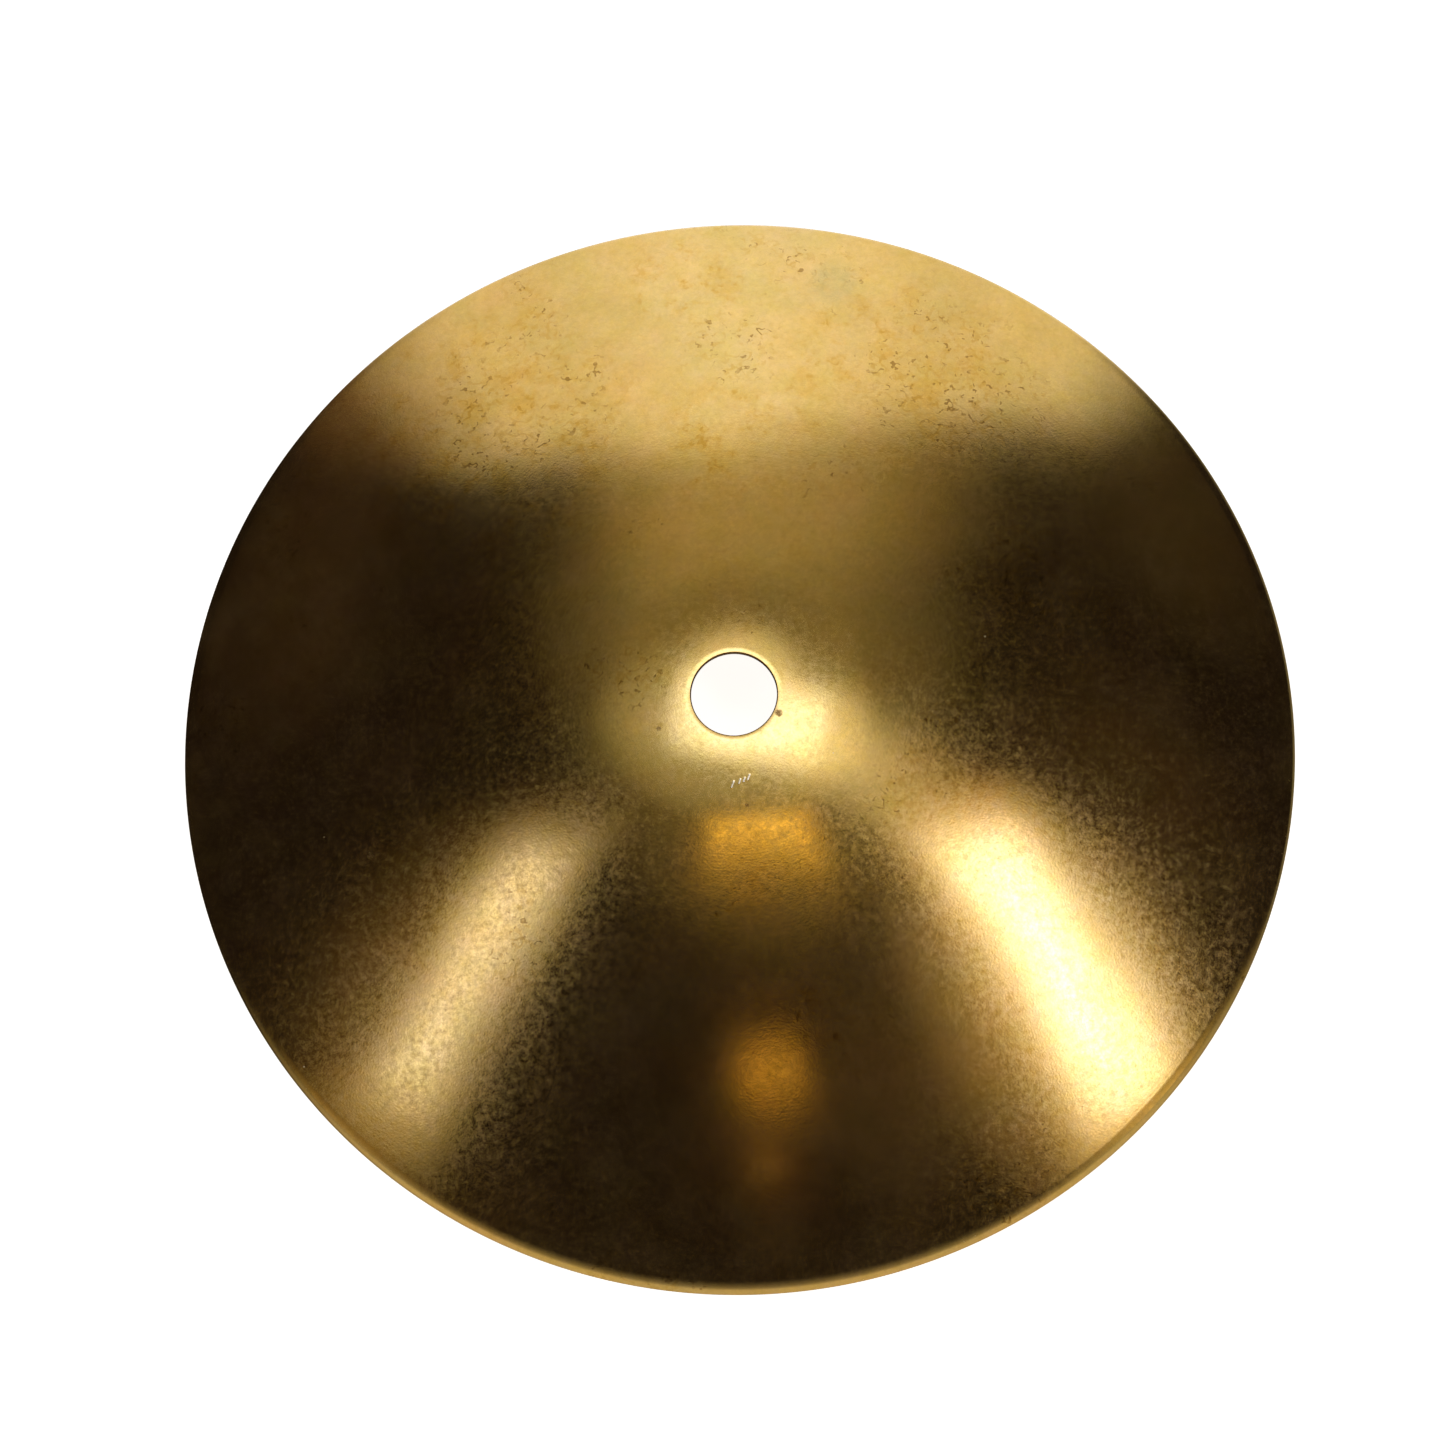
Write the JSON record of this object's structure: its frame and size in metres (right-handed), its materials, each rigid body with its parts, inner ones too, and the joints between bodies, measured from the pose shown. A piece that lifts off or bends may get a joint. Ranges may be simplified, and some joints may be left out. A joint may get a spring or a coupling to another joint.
{
  "type": "crash cymbal",
  "caption": "Small shallow crash cymbal of satin brass sheet, with a rounded crown, a straight-sided bow, a turned-down rim and a plain central mounting hole.",
  "frame": {"origin": "centre of the circle that the rim's cut edge lies on, at the lowest level of the cymbal", "axes": "+Z along the axis, up through the central hole; +X and +Y lie in the rim's plane and are alike"},
  "size_m": [0.178, 0.178, 0.0179],
  "materials": {
    "brass": "satin, lightly tarnished, with fine specks"
  },
  "bodies": {
    "root": {"cymbal": "brass"}
  },
  "joints": []
}
